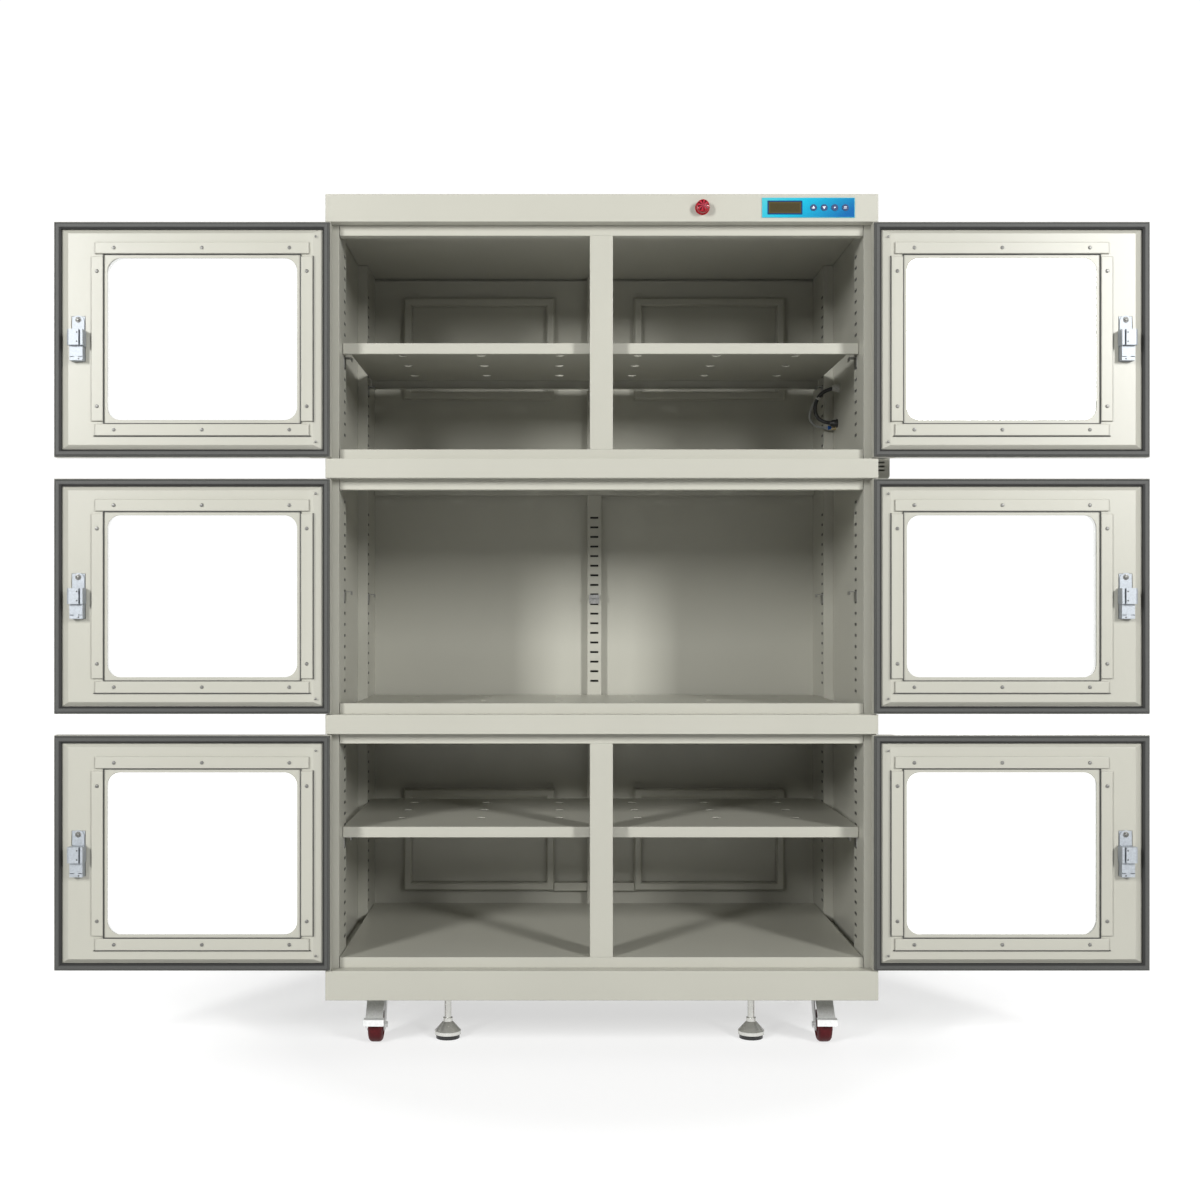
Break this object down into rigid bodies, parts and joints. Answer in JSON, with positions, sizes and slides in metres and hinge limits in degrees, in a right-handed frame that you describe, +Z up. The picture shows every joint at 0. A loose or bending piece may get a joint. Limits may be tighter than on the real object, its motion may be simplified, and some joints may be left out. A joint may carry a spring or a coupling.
{
  "type": "desiccator cabinet",
  "caption": "Free-standing dry storage cabinet with three bays, glazed swing doors with compression latches, adjustable shelves, castors and levelling feet.",
  "frame": {"origin": "on the floor, under the middle of the whole object with every door folded right back", "axes": "+X to the right seen from the front, +Y to the back, +Z up"},
  "size_m": [2.3732, 0.73, 1.88],
  "materials": {
    "body_paint": "fine-textured warm light grey powder coat",
    "door_paint": "fine-textured warm light grey powder coat",
    "zinc": "bright zinc plate",
    "steel": "turned stainless steel with a rubber pad",
    "clear_glass": "clear float glass",
    "grey_rubber": "matt dark grey door seal",
    "red_wheel": "dark red polyurethane tread",
    "black_plastic": "black corrugated conduit",
    "panel_film": "blue printed film over a moulded bezel",
    "key_plastic": "dark blue moulded key",
    "red_lens": "red domed lens"
  },
  "bodies": {
    "cabinet": {"outer_panels": "body_paint", "back_panel": "body_paint", "front_bands": "body_paint", "base_plinth": "body_paint", "face_frame": "body_paint", "posts": "body_paint", "decks": "body_paint", "shelves": "body_paint", "shelf_clips": "zinc", "dryer_frames": "body_paint", "side_box": "body_paint", "sensor_conduit": "black_plastic", "control_panel": "panel_film", "alarm_lamp": "red_lens", "castor_plates": "zinc"},
    "door_lower_left": {"door_lower_left_panel": "door_paint", "door_lower_left_glass": "clear_glass", "door_lower_left_gasket": "grey_rubber", "door_lower_left_latch_case": "zinc"},
    "door_lower_left_latch": {"door_lower_left_latch_lever": "zinc"},
    "door_lower_right": {"door_lower_right_panel": "door_paint", "door_lower_right_glass": "clear_glass", "door_lower_right_gasket": "grey_rubber", "door_lower_right_latch_case": "zinc"},
    "door_lower_right_latch": {"door_lower_right_latch_lever": "zinc"},
    "door_middle_left": {"door_middle_left_panel": "door_paint", "door_middle_left_glass": "clear_glass", "door_middle_left_gasket": "grey_rubber", "door_middle_left_latch_case": "zinc"},
    "door_middle_left_latch": {"door_middle_left_latch_lever": "zinc"},
    "door_middle_right": {"door_middle_right_panel": "door_paint", "door_middle_right_glass": "clear_glass", "door_middle_right_gasket": "grey_rubber", "door_middle_right_latch_case": "zinc"},
    "door_middle_right_latch": {"door_middle_right_latch_lever": "zinc"},
    "door_upper_left": {"door_upper_left_panel": "door_paint", "door_upper_left_glass": "clear_glass", "door_upper_left_gasket": "grey_rubber", "door_upper_left_latch_case": "zinc"},
    "door_upper_left_latch": {"door_upper_left_latch_lever": "zinc"},
    "door_upper_right": {"door_upper_right_panel": "door_paint", "door_upper_right_glass": "clear_glass", "door_upper_right_gasket": "grey_rubber", "door_upper_right_latch_case": "zinc"},
    "door_upper_right_latch": {"door_upper_right_latch_lever": "zinc"},
    "castor_front_left": {"castor_front_left_fork": "zinc"},
    "castor_front_left_roller": {"castor_front_left_wheel": "red_wheel"},
    "castor_front_right": {"castor_front_right_fork": "zinc"},
    "castor_front_right_roller": {"castor_front_right_wheel": "red_wheel"},
    "castor_rear_left": {"castor_rear_left_fork": "zinc"},
    "castor_rear_left_roller": {"castor_rear_left_wheel": "red_wheel"},
    "castor_rear_right": {"castor_rear_right_fork": "zinc"},
    "castor_rear_right_roller": {"castor_rear_right_wheel": "red_wheel"},
    "foot_left": {"foot_left": "steel"},
    "foot_right": {"foot_right": "steel"},
    "key_up": {"key_up": "key_plastic"},
    "key_down": {"key_down": "key_plastic"},
    "key_set": {"key_set": "key_plastic"},
    "key_mute": {"key_mute": "key_plastic"}
  },
  "joints": [
    {"name": "door_lower_left_hinge", "type": "hinge", "parent": "cabinet", "child": "door_lower_left", "pos_m": [-0.5938, -0.317, 0.451], "axis": [0, 0, 1], "range_deg": [0, 180]},
    {"name": "door_lower_left_latch_pivot", "type": "hinge", "parent": "door_lower_left", "child": "door_lower_left_latch", "pos_m": [-1.1416, -0.323, 0.451], "axis": [0, 0, -1], "range_deg": [0, 40]},
    {"name": "door_lower_right_hinge", "type": "hinge", "parent": "cabinet", "child": "door_lower_right", "pos_m": [0.5938, -0.317, 0.451], "axis": [0, 0, -1], "range_deg": [0, 180]},
    {"name": "door_lower_right_latch_pivot", "type": "hinge", "parent": "door_lower_right", "child": "door_lower_right_latch", "pos_m": [1.1416, -0.323, 0.451], "axis": [0, 0, 1], "range_deg": [0, 40]},
    {"name": "door_middle_left_hinge", "type": "hinge", "parent": "cabinet", "child": "door_middle_left", "pos_m": [-0.5938, -0.317, 1.007], "axis": [0, 0, 1], "range_deg": [0, 180]},
    {"name": "door_middle_left_latch_pivot", "type": "hinge", "parent": "door_middle_left", "child": "door_middle_left_latch", "pos_m": [-1.1416, -0.323, 1.007], "axis": [0, 0, -1], "range_deg": [0, 40]},
    {"name": "door_middle_right_hinge", "type": "hinge", "parent": "cabinet", "child": "door_middle_right", "pos_m": [0.5938, -0.317, 1.007], "axis": [0, 0, -1], "range_deg": [0, 180]},
    {"name": "door_middle_right_latch_pivot", "type": "hinge", "parent": "door_middle_right", "child": "door_middle_right_latch", "pos_m": [1.1416, -0.323, 1.007], "axis": [0, 0, 1], "range_deg": [0, 40]},
    {"name": "door_upper_left_hinge", "type": "hinge", "parent": "cabinet", "child": "door_upper_left", "pos_m": [-0.5938, -0.317, 1.563], "axis": [0, 0, 1], "range_deg": [0, 180]},
    {"name": "door_upper_left_latch_pivot", "type": "hinge", "parent": "door_upper_left", "child": "door_upper_left_latch", "pos_m": [-1.1416, -0.323, 1.563], "axis": [0, 0, -1], "range_deg": [0, 40]},
    {"name": "door_upper_right_hinge", "type": "hinge", "parent": "cabinet", "child": "door_upper_right", "pos_m": [0.5938, -0.317, 1.563], "axis": [0, 0, -1], "range_deg": [0, 180]},
    {"name": "door_upper_right_latch_pivot", "type": "hinge", "parent": "door_upper_right", "child": "door_upper_right_latch", "pos_m": [1.1416, -0.323, 1.563], "axis": [0, 0, 1], "range_deg": [0, 40]},
    {"name": "castor_front_left_swivel", "type": "hinge", "parent": "cabinet", "child": "castor_front_left", "pos_m": [-0.507, -0.14, 0.12], "axis": [0, 0, 1], "continuous": true},
    {"name": "castor_front_left_axle", "type": "hinge", "parent": "castor_front_left", "child": "castor_front_left_roller", "pos_m": [-0.507, -0.175, 0.0375], "axis": [1, 0, 0], "continuous": true},
    {"name": "castor_front_right_swivel", "type": "hinge", "parent": "cabinet", "child": "castor_front_right", "pos_m": [0.507, -0.14, 0.12], "axis": [0, 0, 1], "continuous": true},
    {"name": "castor_front_right_axle", "type": "hinge", "parent": "castor_front_right", "child": "castor_front_right_roller", "pos_m": [0.507, -0.175, 0.0375], "axis": [1, 0, 0], "continuous": true},
    {"name": "castor_rear_left_swivel", "type": "hinge", "parent": "cabinet", "child": "castor_rear_left", "pos_m": [-0.507, 0.235, 0.12], "axis": [0, 0, 1], "continuous": true},
    {"name": "castor_rear_left_axle", "type": "hinge", "parent": "castor_rear_left", "child": "castor_rear_left_roller", "pos_m": [-0.507, 0.2, 0.0375], "axis": [1, 0, 0], "continuous": true},
    {"name": "castor_rear_right_swivel", "type": "hinge", "parent": "cabinet", "child": "castor_rear_right", "pos_m": [0.507, 0.235, 0.12], "axis": [0, 0, 1], "continuous": true},
    {"name": "castor_rear_right_axle", "type": "hinge", "parent": "castor_rear_right", "child": "castor_rear_right_roller", "pos_m": [0.507, 0.2, 0.0375], "axis": [1, 0, 0], "continuous": true},
    {"name": "foot_left_screw", "type": "slide", "parent": "cabinet", "child": "foot_left", "axis": [0, 0, 1], "range_m": [0, 0.03]},
    {"name": "foot_right_screw", "type": "slide", "parent": "cabinet", "child": "foot_right", "axis": [0, 0, 1], "range_m": [0, 0.03]},
    {"name": "key_up_press", "type": "slide", "parent": "cabinet", "child": "key_up", "axis": [0, 1, 0], "range_m": [0, 0.0008], "stiffness_N_per_m": 400},
    {"name": "key_down_press", "type": "slide", "parent": "cabinet", "child": "key_down", "axis": [0, 1, 0], "range_m": [0, 0.0008], "stiffness_N_per_m": 400},
    {"name": "key_set_press", "type": "slide", "parent": "cabinet", "child": "key_set", "axis": [0, 1, 0], "range_m": [0, 0.0008], "stiffness_N_per_m": 400},
    {"name": "key_mute_press", "type": "slide", "parent": "cabinet", "child": "key_mute", "axis": [0, 1, 0], "range_m": [0, 0.0008], "stiffness_N_per_m": 400}
  ]
}
